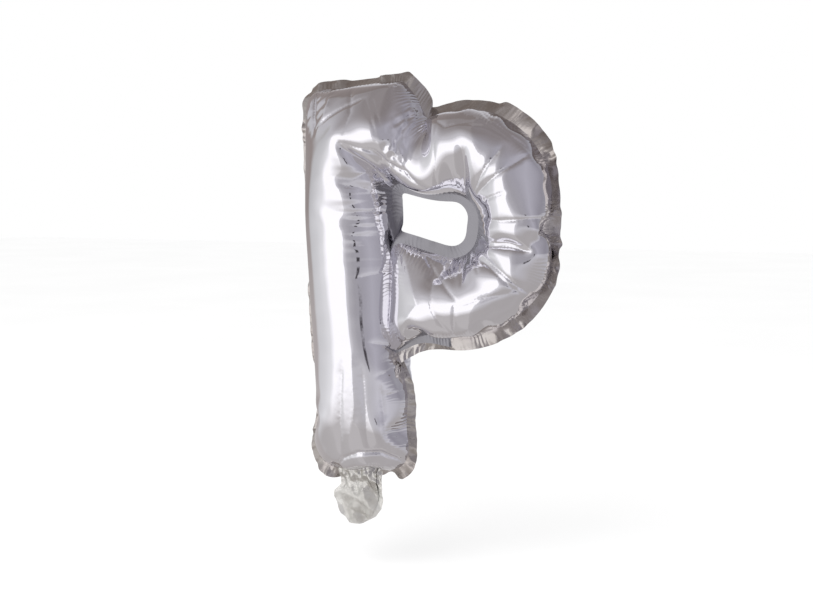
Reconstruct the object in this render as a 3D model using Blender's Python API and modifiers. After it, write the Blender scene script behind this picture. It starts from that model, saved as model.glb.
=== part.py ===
"""Silver foil balloon in the shape of the letter P, inflated, about 0.35 m tall.

Two sheets of metallised film are welded round the letter's outline and round its counter (the
hole of the P). A welded band also parts the stem from the lower arm, so gas reaches the bowl
through the top only. Gas domes the sheets, and a flat filler neck hangs from the foot.
Metres, +Z up, the front faces -Y, and the seam lies in the plane y = 0.
The origin is near the middle of the letter. Letter coordinates start at its lower left corner.
"""

import math

import bpy
from mathutils import Vector

# The part's origin in letter coordinates, near the middle of the letter
MIDDLE_X = 0.123
MIDDLE_Z = 0.175

# Driving dimensions of the inflated letter
FILM = 0.0010
GAP = 0.0003
SEAM_THICKNESS = 0.0012
SEAM_WIDTH = 0.0130
BAND_WIDTH = 0.0060
SEAM_UNDERLAP = 0.0010
LIP = 0.0022

# Filler neck, a flat tube of two films round a two-layer valve
NECK_CENTRE_X = 0.0600
NECK_FILM = 0.0006
VALVE_FILM = 0.0004
NECK_ROOT_WIDTH = 0.036
NECK_WIDTH = 0.046
NECK_LENGTH = 0.038
NECK_SEAM_WIDTH = 0.006
VALVE_WIDTH = 0.028
VALVE_LENGTH = 0.043
HINGE_CLEARANCE = 0.00085
SEAM_TOP = 0.30
SEAM_REACH = 0.66
# Narrowing of a neck strip below its widest part: share of the length, share of the width
NECK_TIP = ((0.93, 0.62), (1.0, 0.26))
VALVE_ROOT_SHARE = 0.8

# Dome profile across a tube: places (0 to 1) and heights (share of the crown) on a half circle.
# A cage point stands this much proud so that the subdivided surface reaches the crown.
ARC_ANGLES = (0, 28, 58, 90, 122, 152, 180)
CAGE_SWELL = 1.05
# The bowl's dome is highest this share of its width outside its middle
BOWL_LEAN = 0.12
SUBDIVISIONS = 1
CORNER_CUTS = 2

# The stem's right weld, beside the counter and the band
STEM_RIGHT = 0.0970

# Stem rows from the foot up: left weld x, z, right weld x, z, crown of the dome
LEG_ROWS = (
    (0.0330, 0.0130, 0.0830, 0.0130, 0.000),
    (0.0240, 0.0155, 0.0930, 0.0160, 0.017),
    (0.0165, 0.0225, 0.1005, 0.0235, 0.027),
    (0.0130, 0.0400, 0.1035, 0.0410, 0.034),
    (0.0120, 0.0690, 0.1020, 0.0700, 0.038),
    (0.0115, 0.1000, STEM_RIGHT, 0.1030, 0.040),
    (0.0115, 0.1510, STEM_RIGHT, 0.1510, 0.041),
    (0.0115, 0.2005, STEM_RIGHT, 0.2005, 0.041),
    (0.0115, 0.2370, STEM_RIGHT, 0.2370, 0.042),
)
BAND_ROW = 5
HEAD_ROWS = (
    (0.0115, 0.3065, 0.1060, 0.3030, 0.038),
    (0.0130, 0.3235, 0.1130, 0.3210, 0.030),
    (0.0200, 0.3340, 0.1160, 0.3330, 0.019),
    (0.0320, 0.3385, 0.1130, 0.3400, 0.000),
)

# Open passage between stem and top arm: outer weld z, counter weld z, left weld x,
# outer right x, counter right x, crown, depth of the valley between stem and arm
PASSAGE = (0.2920, 0.2620, 0.0115, 0.1080, 0.1010, 0.043, 0.019)
VALLEY_SHOULDER = 0.005

# How the stem's dome falls to the valley: place between its middle and the shoulder, and the
# crown's share of the height there
FALL = ((0.40, 0.93), (0.75, 0.70), (1.0, 0.33))
HALF_SECTION = 5

# Bowl stations, clockwise from the passage: counter weld x, z, outer weld x, z, crown
BOWL_STATIONS = (
    (0.1070, 0.2595, 0.1150, 0.3050, 0.024),
    (0.1190, 0.2560, 0.1280, 0.3150, 0.029),
    (0.1350, 0.2520, 0.1490, 0.3190, 0.030),
    (0.1505, 0.2485, 0.1790, 0.3165, 0.029),
    (0.1625, 0.2430, 0.2080, 0.3035, 0.028),
    (0.1685, 0.2345, 0.2300, 0.2790, 0.028),
    (0.1700, 0.2215, 0.2390, 0.2330, 0.028),
    (0.1685, 0.2080, 0.2350, 0.1890, 0.028),
    (0.1620, 0.1985, 0.2170, 0.1550, 0.028),
    (0.1475, 0.1945, 0.1870, 0.1350, 0.028),
    (0.1310, 0.1945, 0.1510, 0.1265, 0.028),
    (0.1170, 0.1950, 0.1280, 0.1205, 0.026),
    (0.1080, 0.1960, 0.1130, 0.1165, 0.017),
    (STEM_RIGHT + BAND_WIDTH, 0.1950, STEM_RIGHT + BAND_WIDTH, 0.1150, 0.000),
)

# The trimmed film's inner corners: under the lower arm, and between the head and the bowl
CROTCH = (0.1110, 0.1010)
NOTCH = (0.1330, 0.3265)

# Corners of the cut hole inside the counter's weld, clockwise: x, z, radius
COUNTER_HOLE = (
    (0.1055, 0.2060, 0.004),
    (0.1055, 0.2470, 0.004),
    (0.1590, 0.2390, 0.010),
    (0.1590, 0.2040, 0.010),
)
FILLET_STEPS = 5

# The counter's weld is straight beside the stem from this far above its lower corner
COUNTER_CORNER = 0.014

# Lower end of the band, which leans along the crotch
BAND_FOOT_LEFT = 0.1085
BAND_FOOT_RIGHT = 0.1175
# Its foot is this much wider, so that the outline has a single leftmost corner
BAND_FLARE = 0.0004

# Colours and finish: red, green, blue, roughness, metallic
SILVER_FILM = (0.78, 0.77, 0.78, 0.10, 1.0)
SEAM_FILM = (0.70, 0.68, 0.66, 0.18, 1.0)
VALVE_PLASTIC = (0.80, 0.77, 0.72, 0.25, 0.0)


def clear_scene():
    for old in list(bpy.data.objects):
        bpy.data.objects.remove(old, do_unlink=True)


def make_collection(name):
    collection = bpy.data.collections.new(name)
    bpy.context.scene.collection.children.link(collection)
    return collection


def make_material(name, finish):
    red, green, blue, roughness, metallic = finish
    material = bpy.data.materials.new(name)
    material.use_nodes = True
    shader = material.node_tree.nodes["Principled BSDF"]
    shader.inputs["Base Color"].default_value = (red, green, blue, 1.0)
    shader.inputs["Roughness"].default_value = roughness
    shader.inputs["Metallic"].default_value = metallic
    material.diffuse_color = (red, green, blue, 1.0)
    return material


def place(x, z, y=0.0):
    """Letter coordinates to the part's frame, whose origin is the letter's middle."""
    return Vector((x - MIDDLE_X, y, z - MIDDLE_Z))


def arc_profile():
    """Place across the tube and share of the crown, for each angle of the half circle."""
    angles = [math.radians(a) for a in ARC_ANGLES]
    return [((1 - math.cos(a)) / 2, math.sin(a)) for a in angles]


def lipped_section(start, end, crown, lean=0.0):
    """Points (x, z, height) of one section: lip, weld, dome, weld, lip. Lean moves the crown towards the end."""
    across = Vector(end) - Vector(start)
    lip = across.normalized() * LIP
    points = [(*(Vector(start) - lip), 0.0)]
    for share, rise in arc_profile():
        leaning = share + 4 * lean * share * (1 - share)
        x, z = Vector(start) + across * leaning
        points.append((x, z, crown * rise * CAGE_SWELL))
    points.append((*(Vector(end) + lip), 0.0))
    return points


def shifted(section, x, z):
    """The section moved in the seam plane."""
    return [(px + x, pz + z, height) for px, pz, height in section]


def passage_section(z, left, right, crown, valley):
    """Stem section beside the top arm: it runs to the valley instead of to a weld."""
    points = lipped_section((left, z), (right, z), crown)[:HALF_SECTION]
    shoulder = right - VALLEY_SHOULDER
    middle = points[-1][0]
    for share, height in FALL:
        x = middle + (shoulder - middle) * share
        points.append((x, z, (valley + (crown - valley) * height) * CAGE_SWELL))
    points.append((right, z, valley))
    return points


def passage_rows():
    """The stem's rows beside the top arm, from the counter up to the outer weld."""
    outer_z, inner_z, left, outer_right, inner_right, crown, valley = PASSAGE
    places = [(0.0, 0.0, inner_z - LIP)]
    for share, rise in arc_profile():
        places.append((share, rise, inner_z + (outer_z - inner_z) * share))
    places.append((1.0, 0.0, outer_z + LIP))
    rows = []
    for share, rise, z in places:
        right = inner_right + (outer_right - inner_right) * share
        rows.append((z, left, right, crown, valley * rise))
    return rows


def stem_sections():
    """All rows of the stem from foot to head, and the first and last row of the passage."""
    leg = [lipped_section(row[0:2], row[2:4], row[4]) for row in LEG_ROWS]
    passage = [passage_section(*row) for row in passage_rows()]
    head = [lipped_section(row[0:2], row[2:4], row[4]) for row in HEAD_ROWS]
    foot_lip = shifted(leg[0], 0.0, -LIP)
    head_lip = shifted(head[-1], 0.0, LIP)
    first = 1 + len(leg)
    last = first + len(passage) - 1
    return [foot_lip] + leg + passage + head + [head_lip], first, last


def bowl_sections():
    """Sections of the bowl after the passage. The last two close it beside the band."""
    sections = [lipped_section(row[0:2], row[2:4], row[4], BOWL_LEAN) for row in BOWL_STATIONS]
    return sections + [shifted(sections[-1], -LIP, 0.0)]


def panel_cage():
    """Vertices (x, z, height) and quads of one dome, stem and bowl joined at the passage."""
    stem, first, last = stem_sections()
    width = len(stem[0])
    points = [point for section in stem for point in section]
    stem_grid = [[row * width + column for column in range(width)] for row in range(len(stem))]
    quads = grid_quads(stem_grid)
    bowl_grid = [[stem_grid[row][-1] for row in range(first, last + 1)]]
    for section in bowl_sections():
        start = len(points)
        points.extend(section)
        bowl_grid.append(list(range(start, start + width)))
    quads += [tuple(reversed(quad)) for quad in grid_quads(bowl_grid)]
    return points, quads


def grid_quads(grid):
    quads = []
    for low, high in zip(grid, grid[1:]):
        for k in range(len(low) - 1):
            quads.append((low[k], low[k + 1], high[k + 1], high[k]))
    return quads


def make_panel(name, side, material, collection):
    """One domed sheet of film. side is -1 for the front and +1 for the back."""
    points, quads = panel_cage()
    face = SEAM_THICKNESS / 2 + GAP
    vertices = [place(x, z, side * (face + height)) for x, z, height in points]
    if side > 0:
        quads = [tuple(reversed(quad)) for quad in quads]
    mesh = bpy.data.meshes.new(name)
    mesh.from_pydata(vertices, [], quads)
    mesh.shade_smooth()
    panel = bpy.data.objects.new(name, mesh)
    panel.data.materials.append(material)
    collection.objects.link(panel)
    smooth = panel.modifiers.new("smooth", "SUBSURF")
    smooth.levels = SUBDIVISIONS
    smooth.render_levels = SUBDIVISIONS
    smooth.boundary_smooth = "PRESERVE_CORNERS"
    film = panel.modifiers.new("film", "SOLIDIFY")
    film.thickness = FILM
    film.offset = 1.0
    return panel


def weld_loops():
    """Closed outlines (x, z) of the outer weld and of the counter's weld."""
    leg_right = [row[2:4] for row in LEG_ROWS[:BAND_ROW + 1]]
    bowl = [row[2:4] for row in reversed(BOWL_STATIONS)]
    notch = [(PASSAGE[3], PASSAGE[0])]
    head_right = [row[2:4] for row in HEAD_ROWS]
    left = [row[0:2] for row in reversed(LEG_ROWS + HEAD_ROWS)]
    outer = leg_right + bowl + notch + head_right + left
    corner = (STEM_RIGHT, PASSAGE[1])
    counter = [(STEM_RIGHT, BOWL_STATIONS[-1][1]), corner] + [row[0:2] for row in BOWL_STATIONS[:-1]]
    return outer, counter


def cut_loop():
    """Outline of the trimmed film, one margin outside the weld, with its two inner corners."""
    leg_right = [row[2:4] for row in LEG_ROWS[:BAND_ROW]]
    bowl = [row[2:4] for row in reversed(BOWL_STATIONS[1:-2])]
    head_and_left = [HEAD_ROWS[-1][2:4]] + [row[0:2] for row in reversed(LEG_ROWS + HEAD_ROWS)]
    loop = offset_loop(leg_right + bowl + head_and_left, SEAM_WIDTH)
    before_bowl = len(leg_right)
    after_bowl = before_bowl + len(bowl)
    return loop[:before_bowl] + [CROTCH] + loop[before_bowl:after_bowl] + [NOTCH] + loop[after_bowl:]


def offset_loop(loop, distance):
    """The loop moved sideways; a positive distance moves a counter-clockwise loop outwards."""
    moved = []
    count = len(loop)
    for k, (x, z) in enumerate(loop):
        before = Vector(loop[k - 1])
        after = Vector(loop[(k + 1) % count])
        here = Vector((x, z))
        into = (here - before).normalized()
        out = (after - here).normalized()
        normal = Vector((into.y + out.y, -into.x - out.x)).normalized()
        spread = max(0.5, normal.dot(Vector((into.y, -into.x))))
        moved.append(here + normal * distance / spread)
    return moved


def round_loop(loop):
    """The loop with its corners cut back again and again, as the panels' own edge is."""
    for _ in range(CORNER_CUTS):
        cut = []
        for k, point in enumerate(loop):
            here = Vector(point)
            after = Vector(loop[(k + 1) % len(loop)])
            cut += [here.lerp(after, 0.25), here.lerp(after, 0.75)]
        loop = cut
    return loop


def fillet_loop(corners):
    """The loop of corners (x, z, radius), each replaced by points on its arc."""
    loop = []
    for k, (x, z, radius) in enumerate(corners):
        here = Vector((x, z))
        before = (Vector(corners[k - 1][:2]) - here).normalized()
        after = (Vector(corners[(k + 1) % len(corners)][:2]) - here).normalized()
        half = before.angle(after) / 2
        centre = here + (before + after).normalized() * radius / math.sin(half)
        start = here + before * radius / math.tan(half) - centre
        end = here + after * radius / math.tan(half) - centre
        for step in range(FILLET_STEPS + 1):
            spoke = start.lerp(end, step / FILLET_STEPS)
            loop.append(centre + spoke.normalized() * radius)
    return loop


def add_loop(curve, loop):
    spline = curve.splines.new("POLY")
    spline.points.add(len(loop) - 1)
    for point, (x, z) in zip(spline.points, loop):
        point.co = (x, z, 0.0, 1.0)
    spline.use_cyclic_u = True


def make_flat(name, loops, thickness, middle_y, material, collection):
    """A flat sheet between outlines, upright in the plane y = middle_y."""
    curve = bpy.data.curves.new(name, "CURVE")
    curve.dimensions = "2D"
    curve.fill_mode = "BOTH"
    curve.extrude = thickness / 2
    for loop in loops:
        add_loop(curve, loop)
    flat = bpy.data.objects.new(name, curve)
    flat.location = place(0.0, 0.0, middle_y)
    flat.rotation_euler = (math.pi / 2, 0.0, 0.0)
    flat.data.materials.append(material)
    collection.objects.link(flat)
    return flat


def make_seams(material, collection):
    outer, counter = weld_loops()
    edge = round_loop(cut_loop())
    weld = offset_loop(round_loop(outer), -SEAM_UNDERLAP)
    make_flat("outer_seam", [edge, weld], SEAM_THICKNESS, 0.0, material, collection)
    hole = fillet_loop(COUNTER_HOLE)
    make_flat("counter_seam", [counter_edge(counter), hole], SEAM_THICKNESS, 0.0, material, collection)


def counter_edge(counter):
    """Outline of the counter's margin with the band that runs down to the crotch."""
    ring = offset_loop(round_loop(counter), -SEAM_UNDERLAP)
    left = STEM_RIGHT - SEAM_UNDERLAP
    right = STEM_RIGHT + BAND_WIDTH + SEAM_UNDERLAP
    high = BOWL_STATIONS[-1][1]
    ring = [point for point in ring if point[0] > right + LIP or point[1] > high + COUNTER_CORNER]
    foot_left = left - BAND_FLARE
    band = [(right, high), (right, BAND_FOOT_RIGHT), (foot_left, BAND_FOOT_LEFT), (left, high)]
    return ring + [Vector(point) for point in band]


def neck_outline(root_width, width, length, top_z):
    """Outline of a strip that widens below its root and ends in a shallow point."""
    shares = [(0.0, root_width), (SEAM_TOP, width), (SEAM_REACH, width)]
    shares += [(share, width * narrow) for share, narrow in NECK_TIP]
    right = [(NECK_CENTRE_X + w / 2, top_z - length * share) for share, w in shares]
    left = [(NECK_CENTRE_X - w / 2, top_z - length * share) for share, w in reversed(shares)]
    return right + left


def neck_side(sign, top_z):
    """Outline of the weld down one side of the neck, inside the films' edge."""
    root = NECK_ROOT_WIDTH / 2
    full = NECK_WIDTH / 2
    rows = ((0.0, root), (NECK_LENGTH * SEAM_TOP, full), (NECK_LENGTH * SEAM_REACH, full))
    outer = [(NECK_CENTRE_X + sign * x, top_z - drop) for drop, x in rows]
    inner = [(NECK_CENTRE_X + sign * (x - NECK_SEAM_WIDTH), top_z - drop) for drop, x in rows]
    return outer + list(reversed(inner))


def make_neck(film_material, seam_material, valve_material, collection):
    root_z = neck_root_z()
    valve_y = GAP / 2 + VALVE_FILM / 2
    seam_half = GAP / 2 + VALVE_FILM
    film_y = seam_half + GAP + NECK_FILM / 2
    foil = neck_outline(NECK_ROOT_WIDTH, NECK_WIDTH, NECK_LENGTH, root_z)
    valve = neck_outline(VALVE_WIDTH * VALVE_ROOT_SHARE, VALVE_WIDTH, VALVE_LENGTH, root_z)
    for name, side in (("front", -1), ("back", 1)):
        make_flat(f"neck_{name}_film", [foil], NECK_FILM, side * film_y, film_material, collection)
        make_flat(f"valve_{name}_film", [valve], VALVE_FILM, side * valve_y, valve_material, collection)
    for name, sign in (("left", -1), ("right", 1)):
        outline = neck_side(sign, root_z)
        make_flat(f"neck_{name}_seam", [outline], seam_half * 2, 0.0, seam_material, collection)


def neck_root_z():
    """The neck starts just under the lower edge of the stem's margin."""
    return (LEG_ROWS[0][1] + LEG_ROWS[0][3]) / 2 - SEAM_WIDTH - HINGE_CLEARANCE


def main():
    clear_scene()
    parts = make_collection("letter_p_foil_balloon")
    silver = make_material("silver_film", SILVER_FILM)
    seam = make_material("seam_film", SEAM_FILM)
    valve = make_material("valve_film", VALVE_PLASTIC)
    make_panel("front_panel", -1, silver, parts)
    make_panel("back_panel", 1, silver, parts)
    make_seams(seam, parts)
    make_neck(silver, seam, valve, parts)


main()
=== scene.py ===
"""A letter balloon of silver film, blown up from its flat pattern, to be seen from all sides."""
import math

import bpy
import numpy as np
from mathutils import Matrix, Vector
from mathutils.geometry import delaunay_2d_cdt


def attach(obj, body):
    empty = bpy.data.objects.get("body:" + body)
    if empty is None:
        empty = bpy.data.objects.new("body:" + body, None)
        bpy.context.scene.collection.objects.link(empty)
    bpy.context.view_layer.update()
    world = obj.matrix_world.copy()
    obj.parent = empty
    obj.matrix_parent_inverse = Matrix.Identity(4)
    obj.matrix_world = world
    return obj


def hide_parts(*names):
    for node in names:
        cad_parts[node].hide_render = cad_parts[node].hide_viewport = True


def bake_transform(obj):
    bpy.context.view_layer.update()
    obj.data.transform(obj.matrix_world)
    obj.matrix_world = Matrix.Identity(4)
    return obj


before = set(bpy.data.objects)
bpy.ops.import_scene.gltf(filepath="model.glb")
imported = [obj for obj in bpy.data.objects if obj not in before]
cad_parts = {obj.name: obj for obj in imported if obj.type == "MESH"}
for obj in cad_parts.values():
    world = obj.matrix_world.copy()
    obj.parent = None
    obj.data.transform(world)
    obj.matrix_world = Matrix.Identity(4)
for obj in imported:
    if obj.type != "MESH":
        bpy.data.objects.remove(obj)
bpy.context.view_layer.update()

# Sizes of the flat film before it is blown up, in metres, from the stem's left weld and the foot.
# A name that ends in ROUND is the radius of a corner.
STEM_FLAT = 0.132
HEAD_FLAT = 0.366
HEAD_RISE = 0.022
HEAD_FALL = 0.019
HEAD_ROUND = 0.028
SPIKE_X = 0.101
NOTCH_X = 0.164
NOTCH_FOOT = 0.352
NOTCH_SHOULDER = 0.012
NOTCH_SHOULDER_ROUND = 0.010
NOTCH_ROUND = 0.006
SPIKE_ROUND = 0.008
FOOT_DROP = 0.003
FOOT_INSET = 0.001
FOOT_TAPER = 0.013
FOOT_BELLY = 0.008
FOOT_ROUND = 0.042
FOOT_MIDDLE_ROUND = 0.12
KNEE = 0.070
KNEE_ROUND = 0.05
BAND_FLAT = 0.011
CROTCH_FLAT = 0.106
CROTCH_ROUND = 0.012
BOWL_LIFT = 0.019
BOWL_TOP = 0.378
BOWL_REACH = 0.3125
BOWL_ROUND = 0.1175
COUNTER_LENGTH = 0.066
COUNTER_LOW = 0.221
COUNTER_HIGH = 0.263
COUNTER_SLANT = 0.008
COUNTER_ROUND = 0.014
BAND_END_ROUND = 0.012
COUNTER_MARGIN = 0.010
COUNTER_TOP_MARGIN = 0.007
STEM_SIDE_MARGIN = 0.010

# How far the welded margin reaches beyond the weld on each side of the letter
LEFT_MARGIN = 0.009
FOOT_MARGIN = 0.010
LEG_MARGIN = 0.009
BOWL_MARGIN = 0.0115
TOP_MARGIN = 0.010

# Where the blown-up letter sits in the frame of the solids
STEM_WELD_X = -0.110
FOOT_SHIFT = -0.189

# Settings of the blowing-up
STEP = 0.0030
FRAMES = 28
CLOTH_SCALE = 10.0
FILM_STRETCH = 15.0
FILM_BEND = 3.0
MARGIN_BEND = 60.0
PRESSURE = 8.0
START_GAP = 0.0015

# How far lumps are evened out afterwards
WELD_EASE = 0.018
MARGIN_EASE = 0.010
PUCKER_REACH = 0.006
EDGE_PASSES = 10
IRON_PASSES = 70
FOLD_PASSES = 260
NOTCH_FOLD = (0.157, 0.334)
NOTCH_FOLD_REACH = (0.028, 0.030)
NEAR_WELD = 0.012
TIGHTEN, RELEASE = 0.5, -0.53

# Where the weld is drawn after filling: x and z on the flat film, the shift in x and z, and its reach
DRAWN = (
    (0.164, 0.352, 0.006, 0.017, 0.021),
    (0.101, 0.388, -0.003, -0.005, 0.022))

# The photograph's point of view
VIEW_AZIMUTH = 26.0
VIEW_HEIGHT = 4.0
VIEW_DISTANCE = 1.15
VIEW_FOCAL = 1342.0
VIEW_MIDDLE = (425.5, 280.6)
VIEW_TARGET = Vector((0.0, 0.0, -0.002))
IMAGE_WIDTH = 813
IMAGE_HEIGHT = 610


# Flat outlines

def rounded(corners, step):
    """A closed outline through corners given as x, z and radius."""
    points = []
    for k, (x, z, radius) in enumerate(corners):
        before = np.array(corners[k - 1][:2], float)
        corner = np.array((x, z), float)
        after = np.array(corners[(k + 1) % len(corners)][:2], float)
        points.extend(corner_arc(before, corner, after, radius, step))
    return np.array(points)


def corner_arc(before, corner, after, radius, step):
    """The points of one rounded corner."""
    a = (before - corner) / np.linalg.norm(before - corner)
    b = (after - corner) / np.linalg.norm(after - corner)
    half = math.acos(float(np.clip(a @ b, -1, 1))) / 2
    run = radius / math.tan(half)
    centre = corner + (a + b) / np.linalg.norm(a + b) * radius / math.sin(half)
    first, last = corner + a * run - centre, corner + b * run - centre
    start = math.atan2(first[1], first[0])
    turn = (math.atan2(last[1], last[0]) - start + math.pi) % (2 * math.pi) - math.pi
    count = max(2, int(abs(turn) * radius / step) + 1)
    angles = start + turn * np.linspace(0, 1, count + 1)
    return centre + radius * np.stack([np.cos(angles), np.sin(angles)], 1)


def resample(loop, step):
    """The same closed outline with points one step apart."""
    closed = np.vstack([loop, loop[:1]])
    length = np.r_[0, np.cumsum(np.linalg.norm(np.diff(closed, axis=0), axis=1))]
    count = int(round(length[-1] / step))
    place = np.arange(count) * length[-1] / count
    return np.stack([np.interp(place, length, closed[:, k]) for k in range(2)], 1)


def weld_outline():
    """Where front and back film are welded: round the letter, up the band and round the counter."""
    right = STEM_FLAT + STEM_SIDE_MARGIN + COUNTER_LENGTH + COUNTER_MARGIN
    low, high = COUNTER_LOW - COUNTER_MARGIN, COUNTER_HIGH + COUNTER_TOP_MARGIN
    bowl_left = STEM_FLAT + BAND_FLAT
    middle = (STEM_FLAT - FOOT_TAPER + FOOT_INSET) / 2
    return rounded([
        (FOOT_INSET, -FOOT_DROP, FOOT_ROUND),
        (middle, -FOOT_DROP - FOOT_BELLY, FOOT_MIDDLE_ROUND),
        (STEM_FLAT - FOOT_TAPER, -FOOT_DROP, FOOT_ROUND),
        (STEM_FLAT, KNEE, KNEE_ROUND),
        (STEM_FLAT, high - COUNTER_SLANT, BAND_END_ROUND),
        (right, high, COUNTER_ROUND + COUNTER_MARGIN),
        (right, low, COUNTER_ROUND + COUNTER_MARGIN),
        (bowl_left, low, BAND_END_ROUND),
        (bowl_left, CROTCH_FLAT, CROTCH_ROUND),
        (BOWL_REACH, CROTCH_FLAT + BOWL_LIFT, BOWL_ROUND),
        (BOWL_REACH, BOWL_TOP, BOWL_ROUND),
        (NOTCH_X + NOTCH_SHOULDER, BOWL_TOP, NOTCH_SHOULDER_ROUND),
        (NOTCH_X, NOTCH_FOOT, NOTCH_ROUND),
        (SPIKE_X, HEAD_FLAT + HEAD_RISE, SPIKE_ROUND),
        (0, HEAD_FLAT - HEAD_FALL, HEAD_ROUND)], STEP)


def cut_outline():
    """The outer edge that the film is cut to."""
    low = -FOOT_DROP - FOOT_MARGIN
    crotch = CROTCH_FLAT - BOWL_MARGIN
    reach = BOWL_REACH + BOWL_MARGIN
    top = BOWL_TOP + TOP_MARGIN
    middle = (STEM_FLAT - FOOT_TAPER + FOOT_INSET) / 2
    return rounded([
        (FOOT_INSET - LEFT_MARGIN, low, FOOT_ROUND + LEFT_MARGIN),
        (middle, low - FOOT_BELLY, FOOT_MIDDLE_ROUND),
        (STEM_FLAT - FOOT_TAPER + LEG_MARGIN, low, FOOT_ROUND + LEG_MARGIN),
        (STEM_FLAT + LEG_MARGIN, KNEE - 0.004, KNEE_ROUND),
        (STEM_FLAT + LEG_MARGIN, crotch, 0.006),
        (reach, crotch + BOWL_LIFT, BOWL_ROUND + BOWL_MARGIN),
        (reach, top, BOWL_ROUND + TOP_MARGIN),
        (NOTCH_X + 0.014, top, 0.008),
        (NOTCH_X + 0.004, NOTCH_FOOT + TOP_MARGIN + 0.006, 0.006),
        (SPIKE_X + 0.004, HEAD_FLAT + HEAD_RISE + TOP_MARGIN, 0.004),
        (-LEFT_MARGIN, HEAD_FLAT - HEAD_FALL + TOP_MARGIN, HEAD_ROUND + LEFT_MARGIN)], STEP)


def hole_outline():
    """The edge of the hole in the counter."""
    left = STEM_FLAT + STEM_SIDE_MARGIN
    right = left + COUNTER_LENGTH
    return rounded([
        (left, COUNTER_LOW, 0.008), (right, COUNTER_LOW, COUNTER_ROUND),
        (right, COUNTER_HIGH, COUNTER_ROUND), (left, COUNTER_HIGH - COUNTER_SLANT, 0.005)], STEP)


def inside(points, loop):
    """True for each point inside a closed outline."""
    x, z = points[:, 0], points[:, 1]
    found = np.zeros(len(points), bool)
    for (ax, az), (bx, bz) in zip(loop, np.roll(loop, -1, 0)):
        if az != bz:
            found ^= ((az > z) != (bz > z)) & (x < (bx - ax) * (z - az) / (bz - az) + ax)
    return found


def nearest(points, line):
    """The distance from each point to the closest point of a line, and which one that is."""
    distance, which = np.zeros(len(points)), np.zeros(len(points), int)
    for start in range(0, len(points), 2000):
        part = slice(start, start + 2000)
        squares = ((points[part, None, :] - line[None]) ** 2).sum(-1)
        which[part] = squares.argmin(1)
        distance[part] = np.sqrt(squares.min(1))
    return distance, which


def along_loop(points, loop):
    """How far each point lies from a closed loop, and how far along the loop that is."""
    _, which = nearest(points, loop)
    best, run = np.full(len(points), np.inf), np.zeros(len(points))
    for first in (which - 1, which):
        start, end = loop[first], loop[(first + 1) % len(loop)]
        side = end - start
        part = np.clip(((points - start) * side).sum(1) / (side ** 2).sum(1), 0, 1)
        away = np.linalg.norm(points - start - part[:, None] * side, axis=1)
        closer = away < best
        best[closer] = away[closer]
        run[closer] = ((first % len(loop) + part) * STEP)[closer]
    return best, run


# Flat film as a net of triangles

def film_net():
    """Points, triangles, which triangles are gas-filled, and the weld's points in order."""
    weld, cut, hole = (resample(line, STEP) for line in (weld_outline(), cut_outline(), hole_outline()))
    lattice = loose_points(cut, hole, [weld, cut, hole])
    points = np.concatenate([weld, cut, hole, lattice])
    edges, start = [], 0
    for loop in (weld, cut, hole):
        count = len(loop)
        edges += [(start + i, start + (i + 1) % count) for i in range(count)]
        start += count
    net = delaunay_2d_cdt([Vector(p) for p in points.tolist()], edges, [], 0, 1e-7)
    flat = np.array([tuple(v) for v in net[0]])
    triangles = np.array([tuple(t) for t in net[2]])
    middle = flat[triangles].mean(1)
    kept = inside(middle, cut) & ~inside(middle, hole)
    triangles, middle = triangles[kept], middle[kept]
    place = {old: new for new, olds in enumerate(net[3]) for old in olds}
    weld_points = np.array([place[i] for i in range(len(weld))])
    return flat, counter_clockwise(flat, triangles), inside(middle, weld), weld_points


def loose_points(cut, hole, loops):
    """A slightly uneven lattice that fills the film between its outlines."""
    row = STEP * math.sqrt(3) / 2
    across, up = np.arange(-0.03, BOWL_REACH + 0.03, STEP), np.arange(-0.04, HEAD_FLAT + 0.03, row)
    x, z = np.meshgrid(across, up)
    x = x + (np.arange(len(z)) % 2)[:, None] * STEP / 2
    points = np.stack([x.ravel(), z.ravel()], 1)
    points += np.random.default_rng(3).normal(0, STEP * 0.05, points.shape)
    points = points[inside(points, cut) & ~inside(points, hole)]
    return points[nearest(points, np.concatenate(loops))[0] > 0.62 * STEP]


def counter_clockwise(flat, triangles):
    """The same triangles, all turned the same way round."""
    a, b, c = (flat[triangles[:, k]] for k in range(3))
    area = (b[:, 0] - a[:, 0]) * (c[:, 1] - a[:, 1]) - (c[:, 0] - a[:, 0]) * (b[:, 1] - a[:, 1])
    triangles[area < 0] = triangles[area < 0][:, ::-1]
    return triangles


class Film:
    """The two sheets of film, joined at the weld, with a single welded margin outside it."""

    def __init__(self):
        flat, triangles, filled, self.weld = film_net()
        inner = np.zeros(len(flat), bool)
        inner[np.unique(triangles[filled])] = True
        inner[self.weld] = False
        doubled = np.flatnonzero(inner)
        back = np.arange(len(flat))
        back[doubled] = len(flat) + np.arange(len(doubled))
        self.flat = np.concatenate([flat, flat[doubled]])
        self.front = triangles[filled]
        self.back = back[triangles[filled]][:, ::-1]
        self.margin = triangles[~filled]
        self.faces = np.concatenate([self.front, self.back, self.margin])
        self.place = np.zeros((len(self.flat), 3))
        self.place[:, [0, 2]] = self.flat
        self.place[:, 1] = self.start_depth()

    def start_depth(self):
        """A hair between the sheets, and a trace of unevenness, so that the gas finds its way."""
        depth = np.random.default_rng(5).normal(0, 0.0002, len(self.flat))
        front, back = np.zeros(len(depth), bool), np.zeros(len(depth), bool)
        front[np.unique(self.front)] = True
        back[np.unique(self.back)] = True
        depth[front & ~back] -= START_GAP
        depth[back & ~front] += START_GAP
        return depth


# Blowing up

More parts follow.
